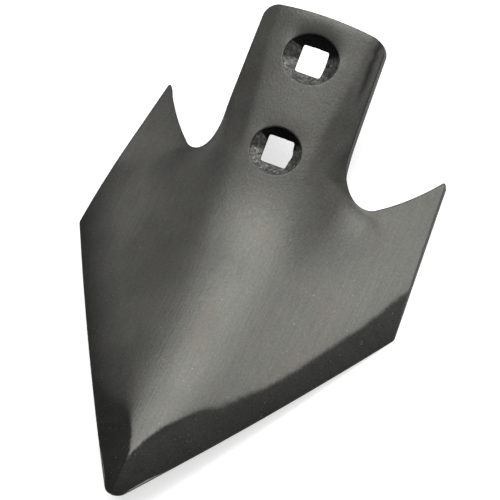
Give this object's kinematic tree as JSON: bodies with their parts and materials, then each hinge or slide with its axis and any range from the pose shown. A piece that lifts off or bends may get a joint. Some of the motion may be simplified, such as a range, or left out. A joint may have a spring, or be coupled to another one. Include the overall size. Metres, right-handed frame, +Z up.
{
  "type": "cultivator sweep",
  "caption": "One-piece V-shaped cultivator sweep of pressed steel, with a raised crown, ground edges and a curved stem with countersunk square bolt holes.",
  "frame": {"origin": "on the floor, below the middle of the sweep's width and length, as it lies on its two straight wing edges", "axes": "+Y runs from the nose to the stem, +Z up, +X to the left when looking from the stem to the nose; the sweep is symmetric about the plane X = 0"},
  "size_m": [0.164, 0.2452, 0.06],
  "materials": {
    "steel": "dark satin, as forged and oiled, with ground bevels"
  },
  "bodies": {
    "root": {"sweep": "steel"}
  },
  "joints": []
}
